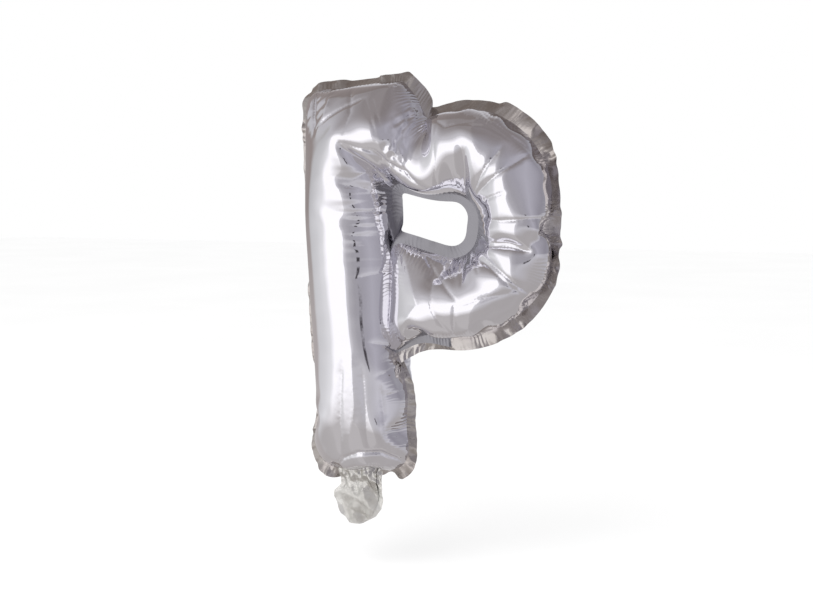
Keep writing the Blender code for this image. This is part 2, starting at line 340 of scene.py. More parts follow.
def inflate(film):
    """Fills the film with gas in a cloth simulation and keeps where its points end up."""
    mesh = bpy.data.meshes.new("film_to_fill")
    mesh.from_pydata((film.place * CLOTH_SCALE).tolist(), [], film.faces.tolist())
    balloon = bpy.data.objects.new("film_to_fill", mesh)
    bpy.context.scene.collection.objects.link(balloon)
    stiff = balloon.vertex_groups.new(name="margin")
    stiff.add([int(i) for i in np.unique(film.margin)], 1.0, "REPLACE")
    set_cloth(balloon.modifiers.new("cloth", "CLOTH"))
    scene = bpy.context.scene
    first, last = scene.frame_start, scene.frame_end
    scene.frame_end = FRAMES
    for number in range(1, FRAMES + 1):
        scene.frame_set(number)
    full = balloon.evaluated_get(bpy.context.evaluated_depsgraph_get()).to_mesh()
    place = np.zeros(len(full.vertices) * 3)
    full.vertices.foreach_get("co", place)
    scene.frame_set(1)
    scene.frame_start, scene.frame_end = first, last
    bpy.data.objects.remove(balloon)
    bpy.data.meshes.remove(mesh)
    return level(place.reshape(-1, 3) / CLOTH_SCALE, film.place)


def set_cloth(modifier):
    """Thin, tough film with gas inside and no weight."""
    cloth = modifier.settings
    cloth.quality = 5
    cloth.mass = 0.3
    cloth.air_damping = 5
    cloth.bending_model = "ANGULAR"
    cloth.tension_stiffness = FILM_STRETCH
    cloth.compression_stiffness = FILM_STRETCH
    cloth.shear_stiffness = FILM_STRETCH
    cloth.tension_damping = 5
    cloth.compression_damping = 5
    cloth.shear_damping = 5
    cloth.bending_stiffness = FILM_BEND
    cloth.bending_stiffness_max = MARGIN_BEND
    cloth.vertex_group_bending = "margin"
    cloth.bending_damping = 0.5
    cloth.use_pressure = True
    cloth.uniform_pressure_force = PRESSURE
    cloth.effector_weights.gravity = 0
    modifier.point_cache.frame_start = 1
    modifier.point_cache.frame_end = FRAMES


def level(place, flat):
    """Turns and shifts the blown-up letter back onto its pattern, because it drifts while it fills."""
    a, b = place.mean(0), flat.mean(0)
    u, _, vt = np.linalg.svd((place - a).T @ (flat - b))
    turn = u @ np.diag([1, 1, np.sign(np.linalg.det(u @ vt))]) @ vt
    return (place - a) @ turn + b


def seat(film, place):
    """Moves the letter to where the solids are."""
    side = (np.abs(film.flat[:, 0]) < 0.001) & (film.flat[:, 1] > 0.08) & (film.flat[:, 1] < 0.28)
    shift = np.array([STEM_WELD_X - place[side, 0].mean(), 0, FOOT_SHIFT])
    return place + shift


def iron(film, place):
    """Takes the small lumps out of the film and the kinks out of its weld, and keeps the large folds."""
    place = place.copy()
    flat_weld = film.place[film.weld] * [1, 0, 1]
    pull = place[film.weld] - flat_weld
    place[film.weld] = flat_weld + loop_smooth(pull, max(1, round(WELD_EASE / STEP)))
    place[:, [0, 2]] += drawn(film.flat)
    faces = np.concatenate([film.front, film.back])
    ends = np.concatenate([faces[:, [0, 1]], faces[:, [1, 2]], faces[:, [2, 0]]])
    ends = np.concatenate([ends, ends[:, ::-1]])
    free = np.zeros(len(place))
    free[np.unique(faces)] = 1
    free[film.weld] = 0
    near = free * np.clip(1.5 - nearest(film.flat, film.flat[film.weld])[0] / NEAR_WELD, 0, 1)
    for _ in range(EDGE_PASSES):
        place += 0.5 * near[:, None] * towards_neighbours(place, ends)
    for _ in range(IRON_PASSES):
        for share in (TIGHTEN, RELEASE):
            place += share * free[:, None] * towards_neighbours(place, ends)
    fold = free * np.exp(-(np.linalg.norm((film.flat - NOTCH_FOLD) / NOTCH_FOLD_REACH, axis=1)) ** 2)
    for _ in range(FOLD_PASSES):
        place += 0.7 * fold[:, None] * towards_neighbours(place, ends)
    return place


def drawn(flat):
    """How far each point moves in x and z: up at the notch and down at the spike."""
    moved = np.zeros_like(flat)
    for x, z, across, up, reach in DRAWN:
        share = np.exp(-((flat - (x, z)) ** 2).sum(1) / reach ** 2)
        moved += share[:, None] * (across, up)
    return moved


def towards_neighbours(place, ends):
    """From each point to the middle of its neighbours."""
    count = np.maximum(np.bincount(ends[:, 0], minlength=len(place)), 1)
    near, far = ends[:, 0], ends[:, 1]
    total = [np.bincount(near, weights=place[far, k], minlength=len(place)) for k in range(3)]
    return np.stack(total, 1) / count[:, None] - place


# Welded margins

class Wave:
    """A smooth seeded wave along a line: a sum of sines with uneven strength."""

    def __init__(self, seed, lengths, count=5):
        rng = np.random.default_rng(seed)
        self.lengths = rng.uniform(lengths[0], lengths[1], count)
        self.phases = rng.uniform(0, 2 * math.pi, count)
        self.weights = rng.uniform(0.5, 1.0, count)

    def __call__(self, run):
        sines = zip(self.weights, self.lengths, self.phases)
        value = sum(weight * np.sin(2 * math.pi * run / length + phase) for weight, length, phase in sines)
        return value / math.sqrt(float((self.weights ** 2).sum()) / 2)


def loop_smooth(values, reach):
    """Values round a closed loop, evened out over reach points."""
    spread = np.arange(-3 * reach, 3 * reach + 1)
    weight = np.exp(-0.5 * (spread / reach) ** 2)
    weight /= weight.sum()
    return sum(w * np.roll(values, s, 0) for s, w in zip(spread.tolist(), weight))


def pose_margin(film, place):
    """Lays the welded margin out from the weld, with the pleats of film that is too long for its seam."""
    weld = film.weld
    pull = place[weld] - film.place[weld] * [1, 0, 1]
    even = loop_smooth(pull, max(1, round(MARGIN_EASE / STEP)))
    pucker = pull - even
    rim = np.setdiff1d(np.unique(film.margin), weld)
    flat = film.flat[rim]
    away, which = nearest(flat, film.flat[weld])
    out = (flat - film.flat[weld][which]) / away[:, None]
    moved = carried(flat, film.flat[weld], even, pucker, away)
    run = which * STEP
    tilt = margin_tilt(flat, run)
    wider = side_width(flat)
    moved[:, [0, 2]] -= out * (away * (1 - wider * np.cos(tilt)))[:, None]
    moved[:, 1] -= away * wider * np.sin(tilt)
    moved[:, 1] += pleat_depth(flat, run, away)
    place = place.copy()
    place[rim] = film.place[rim] * [1, 0, 1] + moved
    return place


def carried(flat, weld, even, pucker, away):
    """How far the weld carries each point of the margin."""
    moved = np.zeros((len(flat), 3))
    for start in range(0, len(flat), 1000):
        part = slice(start, start + 1000)
        squares = ((flat[part, None, :] - weld[None]) ** 2).sum(-1)
        weight = 1 / (squares + 1e-10) ** 2
        weight /= weight.sum(1, keepdims=True)
        moved[part] = weight @ even + (weight @ pucker) * np.exp(-away[part] / PUCKER_REACH)[:, None]
    return moved


def is_counter(flat):
    """True where the margin belongs to the counter or the band below it."""
    high = COUNTER_HIGH + COUNTER_MARGIN + 0.002
    right = STEM_FLAT + STEM_SIDE_MARGIN + COUNTER_LENGTH + COUNTER_MARGIN + 0.002
    x, z = flat[:, 0], flat[:, 1]
    return (x > STEM_FLAT - 0.002) & (x < right) & (z > CROTCH_FLAT - 0.001) & (z < high)


def crinkled(flat):
    """1 along the stem's sides and foot, where the margin is finely crushed, and 0 elsewhere."""
    x, z = flat[:, 0], flat[:, 1]
    low = np.clip((CROTCH_FLAT - z) / 0.03, 0, 1)
    left = np.clip((0.010 - x) / 0.01, 0, 1) * np.clip((HEAD_FLAT - 0.03 - z) / 0.02, 0, 1)
    return np.maximum(low, left)


# The margin is a row of stretches that each lean a little differently, in metres and radians
STRETCHES = 80
STRETCH_LENGTHS = (0.030, 0.044)
STRETCH_LEAN = 0.30

# How much wider the margin is at the bowl's top and on the leg, and how far each side leans
BOWL_TOP_WIDER = 0.22
LEG_NARROWER = 0.20
BOWL_LEAN = 0.64
TOP_LEAN = 0.70
LEFT_LEAN = 0.12
FOOT_LEAN = 1.15
LEG_LEAN = 0.45


def margin_tilt(flat, run):
    """How far each stretch of the margin leans out of the letter's plane, in radians, forward if positive."""
    rng = np.random.default_rng(11)
    bounds = np.cumsum(rng.uniform(*STRETCH_LENGTHS, STRETCHES))
    leans = rng.uniform(-STRETCH_LEAN, STRETCH_LEAN, STRETCHES + 1)
    step = np.searchsorted(bounds, run)
    edge = np.clip((run - np.r_[0, bounds][step]) / 0.003, 0, 1)
    lean = leans[np.maximum(step - 1, 0)] * (1 - edge) + leans[step] * edge
    lean = lean + side_lean(flat)
    return np.where(is_counter(flat), 0.0, lean)


def side_width(flat):
    """How much wider the margin is than the net's, on each side of the letter."""
    x, z = flat[:, 0], flat[:, 1]
    bowl_top = np.clip((x - 0.17) / 0.03, 0, 1) * np.clip((z - HEAD_FLAT + 0.055) / 0.05, 0, 1)
    return 1 + BOWL_TOP_WIDER * bowl_top - LEG_NARROWER * leg_side(flat)


def leg_side(flat):
    """1 along the stem's right side below the bowl, and 0 elsewhere."""
    x, z = flat[:, 0], flat[:, 1]
    right = np.clip((x - STEM_FLAT + 0.016) / 0.008, 0, 1)
    return right * np.clip((CROTCH_FLAT - 0.010 - z) / 0.012, 0, 1) * np.clip(z / 0.012, 0, 1)


def side_lean(flat):
    """The lean of each side as a whole: forward at the bowl's right, back at the top, left and foot."""
    x, z = flat[:, 0], flat[:, 1]
    bowl = np.clip((x - 0.17) / 0.06, 0, 1)
    middle = (CROTCH_FLAT + BOWL_TOP) / 2
    up = np.clip((z - middle) / 0.09, -1, 1)
    top = np.clip((z - HEAD_FLAT + 0.030 + 0.034 * bowl) / (0.02 + 0.030 * bowl), 0, 1)
    left = np.clip((0.012 - x) / 0.012, 0, 1)
    foot = np.clip((0.012 - z) / 0.010, 0, 1)
    foot = foot * np.clip((x - 0.020) / 0.015, 0, 1) * np.clip((0.108 - x) / 0.012, 0, 1)
    forward = BOWL_LEAN * bowl * (1 - 0.8 * np.maximum(-up, 0)) * (1 - top)
    back = (TOP_LEAN - 0.06 * bowl) * top
    lean = forward - back - LEFT_LEAN * left * (1 - top)
    return lean - FOOT_LEAN * foot - LEG_LEAN * leg_side(flat)


# Depth and spacing of the pleats across the margin
COARSE_PLEAT = 0.0022
COARSE_PITCH = 0.027
FINE_PLEAT = 0.0015
FINE_PITCH = 0.0095


def folded(value):
    """A wave with sharp folds instead of round crests."""
    return np.arcsin(np.sin(value)) / (math.pi / 2)


def pleat_depth(flat, run, away):
    """The pleats across the margin, deeper towards its edge."""
    grow = np.clip(away / BOWL_MARGIN, 0, 1.2) ** 1.2
    coarse = COARSE_PLEAT * folded(2 * math.pi * run / COARSE_PITCH + 1.5 * Wave(21, (0.05, 0.11))(run))
    fine = FINE_PLEAT * folded(2 * math.pi * run / FINE_PITCH + 1.2 * Wave(22, (0.03, 0.08))(run))
    fine = fine * (0.6 + 0.4 * Wave(23, (0.03, 0.07))(run))
    crush = crinkled(flat)
    depth = coarse * (1 - 0.5 * crush) + fine * (0.35 + 0.9 * crush)
    return grow * np.where(is_counter(flat), 0.15 * depth, depth)


# Long creases on the flat film in millimetres: height (a ridge if positive, a furrow if negative),
# half width, then the line's points as x and z
CREASES = (
    (-2.6, 2.6, (22, 344), (34, 322), (42, 306)),
    (1.6, 5.0, (46, 342), (52, 322), (48, 304)),
    (-1.6, 2.4, (44, 306), (62, 325), (84, 346)),
    (-1.0, 2.2, (84, 300), (80, 327), (62, 352)),
    (-1.8, 2.5, (83, 299), (115, 303), (129, 299), (153, 303), (175, 292)),
    (-0.7, 2.0, (105, 302), (124, 299), (127, 295)),
    (-0.4, 1.6, (84, 345), (112, 318)),
    (-0.4, 1.6, (90, 347), (118, 320)),
    (-0.8, 1.4, (89, 236), (132, 234)),
    (-0.8, 1.4, (80, 260), (106, 255)),
    (-0.8, 1.4, (85, 215), (133, 210)),
    (-0.5, 1.6, (87, 206), (130, 203)),
    (-0.8, 1.4, (92, 268), (128, 272)),
    (-0.7, 2.0, (89, 179), (128, 184)),
    (-0.8, 2.0, (96, 123), (129, 116)),
    (-0.8, 2.0, (100, 94), (130, 99)),
    (-0.6, 1.8, (106, 77), (128, 76)),
    (-1.3, 3.5, (56, 20), (64, 63), (71, 112)),
    (0.9, 4.5, (68, 34), (78, 72), (80, 116)),
    (-1.1, 3.5, (85, 33), (87, 69), (88, 105)),
    (-0.9, 3.0, (102, 26), (103, 61), (102, 88)),
    (-3.0, 2.4, (40, 4), (56, 20), (74, 28), (94, 26), (108, 14), (116, 3)),
    (-1.5, 1.7, (229, 277), (259, 313)),
    (-1.5, 1.7, (232, 275), (283, 309)),
    (-1.0, 1.5, (237, 268), (262, 276)),
    (-1.4, 1.6, (235, 251), (302, 256)),
    (-1.2, 1.5, (237, 227), (283, 223)),
    (-1.6, 1.7, (235, 217), (294, 180)),
    (-1.3, 1.6, (233, 214), (275, 187)),
    (-0.8, 2.0, (214, 213), (223, 185)),
    (-0.7, 2.0, (197, 211), (213, 188)),
    (-0.7, 1.8, (224, 213), (237, 198)),
    (-1.0, 2.5, (177, 206), (198, 189), (224, 171)),
    (-1.0, 2.5, (222, 171), (225, 137)),
    (-0.9, 2.5, (224, 169), (241, 178), (265, 187), (275, 193)),
    (1.0, 4.0, (160, 200), (190, 161), (168, 123)),
    (-0.8, 2.5, (190, 196), (203, 161), (221, 141)),
    (-0.9, 2.5, (204, 354), (213, 340), (245, 336), (267, 319)),
    (-1.0, 2.5, (245, 356), (252, 338), (270, 322), (287, 310)),
    (-0.6, 2.5, (206, 347), (191, 307), (185, 286)),
    (-0.5, 2.0, (203, 278), (205, 305)),
    (-0.5, 2.0, (217, 280), (226, 300)))

# Crushed patches on the flat film in metres: middle x and z, reach in x and z, depth
CRUSHED = (
    (0.128, 0.345, 0.009, 0.032, 0.00085),
    (0.136, 0.310, 0.014, 0.016, 0.00070),
    (0.030, 0.330, 0.018, 0.018, 0.00055),
    (0.124, 0.105, 0.008, 0.030, 0.00045),
    (0.150, 0.190, 0.010, 0.022, 0.00040))


# Pieces of film

def crumple(x, z, seed, folds, sizes, depth):
    """Depth of film that was crushed and let go: flat facets between straight folds."""
    rng = np.random.default_rng(seed)
    total = np.zeros_like(x)
    for _ in range(folds):
        angle = rng.uniform(0, math.pi)
        size = rng.uniform(*sizes)
        shift = rng.uniform(0, 2 * math.pi)
        along = x * math.cos(angle) + z * math.sin(angle)
        bend = 0.25 * size * np.sin((z * math.cos(angle) - x * math.sin(angle)) / size * 1.7 + shift)
        total += size * folded(2 * math.pi * (along + bend) / size + shift)
    return total * depth / (folds * sum(sizes) / 2) * math.sqrt(folds)


def film_piece(name, film, place, faces, run, away):
    """One piece of the film as its own object, refined once."""
    used, faces = np.unique(faces, return_inverse=True)
    faces = faces.reshape(-1, 3)
    mesh = bpy.data.meshes.new(name)
    mesh.from_pydata(place[used].tolist(), [], faces.tolist())
    number_attribute(mesh, "weld_run", run[used])
    number_attribute(mesh, "weld_out", away[used])
    spot = mesh.attributes.new("flat_place", "FLOAT_VECTOR", "POINT")
    spot.data.foreach_set("vector", np.insert(film.flat[used], 1, 0, axis=1).astype(np.float32).ravel())
    mesh.shade_smooth()
    piece = bpy.data.objects.new(name, mesh)
    bpy.context.scene.collection.objects.link(piece)
    return refine(piece)


def crease(piece, strength):
    """Presses the furrows into the film and raises its ridges, straight out from its surface."""
    mesh = piece.data
    count = len(mesh.vertices)
    place, out, flat, away = (np.zeros(count * n, np.float32) for n in (3, 3, 3, 1))
    mesh.vertices.foreach_get("co", place)
    mesh.vertex_normals.foreach_get("vector", out)
    mesh.attributes["flat_place"].data.foreach_get("vector", flat)
    mesh.attributes["weld_out"].data.foreach_get("value", away)
    place, out, flat = place.reshape(-1, 3), out.reshape(-1, 3), flat.reshape(-1, 3)[:, [0, 2]] * 1000
    height = sum(stroke_height(flat, *row) for row in CREASES)
    height = height + shallow_pleats(flat, away) + crushed_patches(flat)
    height = height * np.clip(away / 0.005, 0, 1) * strength / 1000
    mesh.vertices.foreach_set("co", (place + out * height[:, None]).ravel())
    mesh.update()


def stroke_height(flat, crown, width, *points):
    """The height along one crease: sharp across, full in its middle and running out at both ends."""
    points = np.array(points, float)
    lengths = np.linalg.norm(np.diff(points, axis=0), axis=1)
    best, run = np.full(len(flat), np.inf), np.zeros(len(flat))
    for k, length in enumerate(lengths):
        side = (points[k + 1] - points[k]) / length
        part = np.clip((flat - points[k]) @ side, 0, length)
        away = np.linalg.norm(flat - points[k] - part[:, None] * side, axis=1)
        closer = away < best
        best[closer] = away[closer]
        run[closer] = (part + lengths[:k].sum())[closer]
    share = run / lengths.sum()
    ends = np.clip(np.minimum(share, 1 - share) * 5 + 0.25, 0, 1)
    return crown * ends * np.exp(-best / width)


def shallow_pleats(flat, away):
    """Low pleats in bundles, across the stem beside the counter and round the ring."""
    x, z = flat[:, 0], flat[:, 1]
    stem = np.exp(-((z - 238) / 42) ** 4) * np.exp(-((x - 112) / 34) ** 4)
    bands = 0.14 * np.sin(2 * math.pi * z / 7.3 + 0.8 * np.sin(z / 9.0) + 0.02 * x) * stem
    angle = np.arctan2(z - 243, x - 185)
    ring = np.clip(1 - away / 0.040, 0, 1) * np.clip((x - 190) / 30, 0, 1)
    rays = 0.42 * np.sin(44 * angle + 2.0 * np.sin(5 * angle)) * ring
    return bands + rays * (0.6 + 0.4 * np.sin(7 * angle + 1))


def crushed_patches(flat):
    """Small sharp facets where the film was crushed."""
    x, z = flat[:, 0] / 1000, flat[:, 1] / 1000
    total = np.zeros(len(flat))
    for seed, (middle_x, middle_z, reach_x, reach_z, depth) in enumerate(CRUSHED):
        mask = np.exp(-((x - middle_x) / reach_x) ** 2 - ((z - middle_z) / reach_z) ** 2)
        total += mask * depth * 1000 * crumple(x, z, 51 + seed, 6, (0.006, 0.015), 1.0)
    return total


def number_attribute(mesh, name, values):
    """Keeps one number for each point of the mesh, for its material to read."""
    mesh.attributes.new(name, "FLOAT", "POINT").data.foreach_set("value", values.astype(np.float32))


def refine(piece):
    """Subdivides the piece once and keeps the result as its mesh."""
    modifier = piece.modifiers.new("refine", "SUBSURF")
    modifier.levels = modifier.render_levels = 1
    graph = bpy.context.evaluated_depsgraph_get()
    finer = bpy.data.meshes.new_from_object(piece.evaluated_get(graph))
    coarse = piece.data
    piece.modifiers.clear()
    piece.data = finer
    bpy.data.meshes.remove(coarse)
    finer.name = piece.name
    return piece


def blow_up_letter():
    """The letter's four pieces: front film, back film, outer margin and the counter's margin."""
    film = Film()
    place = pose_margin(film, iron(film, inflate(film)))
    place = seat(film, place)
    away, run = along_loop(film.flat, film.flat[film.weld])
    counter = is_counter(film.flat[film.margin].mean(1))
    pieces = {
        "front_film": film.front, "back_film": film.back,
        "outer_margin": film.margin[~counter], "counter_margin": film.margin[counter]}
    pieces = {name: film_piece(name, film, place, faces, run, away) for name, faces in pieces.items()}
    crease(pieces["front_film"], 1.0)
    crease(pieces["back_film"], 0.8)
    return pieces


# Filler neck

NECK_X = -0.0640
NECK_TOP = -0.1600
NECK_END = -0.2200
NECK_FLAT = 0.046
NECK_SEAM = 0.005
SILVERED_TO = -0.1890
NECK_ROWS = 96
NECK_COLUMNS = 72

# Share of the way down the neck, then its width to the left and to the right of its middle
NECK_WIDTHS = (
    (0.0, 0.0215, 0.0210),
    (0.24, 0.0225, 0.0215),
    (0.36, 0.0205, 0.0215),
    (0.44, 0.0200, 0.0225),
    (0.54, 0.0262, 0.0222),
    (0.64, 0.0270, 0.0222),
    (0.76, 0.0235, 0.0205),
    (0.88, 0.0195, 0.0150),
    (1.0, 0.0110, 0.0020))


def neck_grid():
    """The flat neck film as rows of columns: x, z, the share across (-1 to 1) and the share down (0 to 1)."""
    u = np.linspace(-1, 1, NECK_COLUMNS + 1)
    v = np.linspace(0, 1, NECK_ROWS + 1)
    stations = np.array(NECK_WIDTHS)
    left = np.interp(v, stations[:, 0], stations[:, 1])[:, None]
    right = np.interp(v, stations[:, 0], stations[:, 2])[:, None]
    x = NECK_X + np.where(u < 0, u * left, u * right)
    z = NECK_TOP + (NECK_END - NECK_TOP) * v[:, None]
    return x, z + np.zeros_like(x), u + np.zeros_like(x), v[:, None] + np.zeros_like(x)


def neck_places(side):
    """The neck film on one side: -1 in front, 1 behind."""
    x, z, u, v = neck_grid()
    shared = crumple(x, z, 31, 6, (0.014, 0.030), 0.0020) * (0.5 + 0.7 * v)
    own = crumple(x, z, 33 + side, 6, (0.007, 0.016), 0.0006)
    root = crumple(x, z, 37, 5, (0.006, 0.012), 0.0016) * np.clip(1.2 - v / 0.42, 0, 1)
    puff = 0.0018 * np.clip(1 - u ** 2, 0, 1) * np.clip(v / 0.15, 0.3, 1)
    gap = side * (puff + 0.0002) + own * np.clip(1 - u ** 2, 0, 1)
    return np.stack([x, shared + root + gap, z], -1)


def grid_piece(name, places, columns):
    """A strip of the neck film between two columns as its own object."""
    part = places[:, columns]
    rows, count = part.shape[:2]
    index = np.arange(rows * count).reshape(rows, count)
    quads = np.stack([index[:-1, :-1], index[1:, :-1], index[1:, 1:], index[:-1, 1:]], -1).reshape(-1, 4)
    mesh = bpy.data.meshes.new(name)
    mesh.from_pydata(part.reshape(-1, 3).tolist(), [], quads.tolist())
    mesh.shade_smooth()
    piece = bpy.data.objects.new(name, mesh)
    bpy.context.scene.collection.objects.link(piece)
    return piece


def make_neck():
    """The neck's front and back film, its welded sides and the two valve films between them."""
    front, back = neck_places(-1), neck_places(1)
    strip = round(NECK_COLUMNS * NECK_SEAM / NECK_FLAT)
    middle = slice(strip, NECK_COLUMNS + 1 - strip)
    left, right = slice(0, strip + 1), slice(NECK_COLUMNS - strip, NECK_COLUMNS + 1)
    pieces = {
        "neck_front": grid_piece("neck_front", front, middle),
        "neck_back": grid_piece("neck_back", back, middle),
        "neck_left_weld": grid_piece("neck_left_weld", (front + back) / 2, left),
        "neck_right_weld": grid_piece("neck_right_weld", (front + back) / 2, right)}
    for name, side in (("valve_front", -0.3), ("valve_back", 0.3)):
        film = front + (back - front) * (0.5 + side)
        pieces[name] = grid_piece(name, film, slice(NECK_COLUMNS // 5, 4 * NECK_COLUMNS // 5 + 1))
    return pieces


# Shader building

def add(tree, kind, **settings):
    """One node with its settings."""
    node = tree.nodes.new(kind)
    for name, value in settings.items():
        setattr(node, name, value)
    return node


def put(tree, node, **inputs):
    """Sets a node's inputs to numbers or links, by name (underscores for blanks) or by place (i0, i1)."""
    for name, value in inputs.items():
        by_place = name[0] == "i" and name[1:].isdigit()
        socket = node.inputs[int(name[1:]) if by_place else name.replace("_", " ")]
        if isinstance(value, bpy.types.NodeSocket):
            tree.links.new(value, socket)
        else:
            socket.default_value = value
    return node


def maths(tree, operation, a, b=None):
    """A Math node's result."""
    node = add(tree, "ShaderNodeMath", operation=operation)
    put(tree, node, i0=a)
    if b is not None:
        put(tree, node, i1=b)
    return node.outputs[0]


def remap(tree, value, low, high, to_low, to_high):
    """A number from one range moved to another, clamped."""
    node = add(tree, "ShaderNodeMapRange", clamp=True)
    put(tree, node, Value=value, From_Min=low, From_Max=high, To_Min=to_low, To_Max=to_high)
    return node.outputs[0]


def blend_colours(tree, share, first, second, kind="MIX"):
    """Two colours mixed by a share."""
    node = add(tree, "ShaderNodeMix", data_type="RGBA", blend_type=kind)
    put(tree, node, i0=share, i6=first, i7=second)
    return node.outputs[2]


def height_of(tree, vector):
    """The upright part of a vector."""
    split = add(tree, "ShaderNodeSeparateXYZ")
    put(tree, split, Vector=vector)
    return split.outputs["Z"]


def noise(tree, vector, scale, detail=3.0, distortion=0.0):
    """A noise texture's number."""
    node = add(tree, "ShaderNodeTexNoise")
    put(tree, node, Vector=vector, Scale=scale, Detail=detail, Distortion=distortion)
    return node.outputs["Fac"]


def blank_group(name, inputs, outputs):
    """A node group with named inputs and outputs."""
    group = bpy.data.node_groups.new(name, "ShaderNodeTree")
    for label, kind, value in inputs:
        socket = group.interface.new_socket(name=label, in_out="INPUT", socket_type=kind)
        if value is not None:
            socket.default_value = value
    for label, kind in outputs:
        group.interface.new_socket(name=label, in_out="OUTPUT", socket_type=kind)
    return group, group.nodes.new("NodeGroupInput").outputs, group.nodes.new("NodeGroupOutput").inputs


NUMBER, VECTOR, COLOUR = "NodeSocketFloat", "NodeSocketVector", "NodeSocketColor"
PALE = (0.8, 0.8, 0.8, 1)


def film_ripple_group():
    """Soft dents and fine handling wrinkles of thin film."""
    tree, given, out = blank_group(
        "film ripple", [("Place", VECTOR, None), ("Dent Size", NUMBER, 0.02), ("Wrinkle", NUMBER, 0.5)],
        [("Height", NUMBER), ("Mask", NUMBER)])
    dent_scale = maths(tree, "DIVIDE", 1.0, given["Dent Size"])
    dents = noise(tree, given["Place"], dent_scale, 2.0, 0.4)
    ridge_scale = maths(tree, "MULTIPLY", dent_scale, 3.1)
    ridges = maths(tree, "SUBTRACT", noise(tree, given["Place"], ridge_scale, 2.0, 0.8), 0.5)
    ridges = maths(tree, "ABSOLUTE", ridges)
    sharp = maths(tree, "MULTIPLY", remap(tree, ridges, 0.0, 0.05, 1.0, 0.0), given["Wrinkle"])
    fine = noise(tree, given["Place"], maths(tree, "MULTIPLY", dent_scale, 14.0), 2.0)
    total = maths(tree, "ADD", dents, maths(tree, "MULTIPLY", sharp, 0.12))
    total = maths(tree, "ADD", total, maths(tree, "MULTIPLY", fine, 0.03))
    tree.links.new(total, out["Height"])
    tree.links.new(dents, out["Mask"])
    return tree


def weld_pleat_group():
    """Fine pleats that run away from a weld in bundles, from the distance along it and out from it."""
    tree, given, out = blank_group(
        "weld pleats",
        [("Run", NUMBER, 0.0), ("Out", NUMBER, 0.0), ("Pitch", NUMBER, 0.004), ("Reach", NUMBER, 0.02)],
        [("Height", NUMBER), ("Mask", NUMBER)])
    join = add(tree, "ShaderNodeCombineXYZ")
    put(tree, join, X=given["Run"], Y=given["Out"])
    wander = maths(tree, "MULTIPLY", noise(tree, join.outputs[0], 45.0, 1.0), 13.0)
    bundle = remap(tree, noise(tree, join.outputs[0], 30.0, 1.0), 0.44, 0.62, 0.04, 1.0)
    turns = maths(tree, "MULTIPLY", maths(tree, "DIVIDE", given["Run"], given["Pitch"]), 2 * math.pi)
    wave = maths(tree, "SINE", maths(tree, "ADD", turns, wander))
    fade = remap(tree, maths(tree, "DIVIDE", given["Out"], given["Reach"]), 0.0, 1.0, 1.0, 0.0)
    strength = maths(tree, "MULTIPLY", maths(tree, "POWER", fade, 1.5), bundle)
    tree.links.new(maths(tree, "MULTIPLY", wave, strength), out["Height"])
    tree.links.new(strength, out["Mask"])
    return tree


def film_shade_group():
    """Slow change of tint over the film, with faint smudges from handling."""
    tree, given, out = blank_group(
        "film shade",
        [("Place", VECTOR, None), ("Colour", COLOUR, PALE), ("Tint", COLOUR, PALE),
         ("Roughness", NUMBER, 0.1), ("Smudge", NUMBER, 0.1)],
        [("Colour", COLOUR), ("Roughness", NUMBER)])
    slow = remap(tree, noise(tree, given["Place"], 14.0, 3.0, 0.5), 0.35, 0.65, 0.0, 1.0)
    tree.links.new(blend_colours(tree, slow, given["Colour"], given["Tint"]), out["Colour"])
    marks = remap(tree, noise(tree, given["Place"], 60.0, 5.0, 1.0), 0.52, 0.72, 0.0, 1.0)
    rough = maths(tree, "ADD", given["Roughness"], maths(tree, "MULTIPLY", marks, given["Smudge"]))
    tree.links.new(rough, out["Roughness"])
    return tree


GROUPS = {"ripple": film_ripple_group(), "pleats": weld_pleat_group(), "shade": film_shade_group()}


def use_group(tree, name, **inputs):
    """Places a shared group in a material with its own values."""
    node = add(tree, "ShaderNodeGroup", node_tree=GROUPS[name])
    return put(tree, node, **inputs).outputs


def read_number(tree, name):
    """A number kept on the mesh's points."""
    return add(tree, "ShaderNodeAttribute", attribute_name=name).outputs["Fac"]


def film_material(name, colour, tint, roughness, dent, wrinkle, pitch, reach, pleat, ripple):
    """Metallised film with dents, wrinkles and pleats at its welds; the last two set their heights in mm."""
    material, tree, shader = blank_material(name)
    place = add(tree, "ShaderNodeTexCoord").outputs["Object"]
    run, out = read_number(tree, "weld_run"), read_number(tree, "weld_out")
    shade = use_group(tree, "shade", Place=place, Colour=colour, Tint=tint, Roughness=roughness, Smudge=0.06)
    dents = use_group(tree, "ripple", Place=place, Dent_Size=dent, Wrinkle=wrinkle)
    pleats = use_group(tree, "pleats", Run=run, Out=out, Pitch=pitch, Reach=reach)
    height = maths(tree, "ADD", maths(tree, "MULTIPLY", dents["Height"], ripple),
                   maths(tree, "MULTIPLY", pleats["Height"], pleat))
    put(tree, shader, Base_Color=shade["Colour"], Roughness=shade["Roughness"], Metallic=1.0,
        Normal=raised(tree, height))
    return material


def raised(tree, height):
    """A normal from a height in millimetres."""
    bump = add(tree, "ShaderNodeBump")
    return put(tree, bump, Height=height, Strength=1.0, Distance=0.001).outputs[0]


def blank_material(name):
    """A material with its Principled shader."""
    material = bpy.data.materials.new(name)
    material.use_nodes = True
    return material, material.node_tree, material.node_tree.nodes["Principled BSDF"]


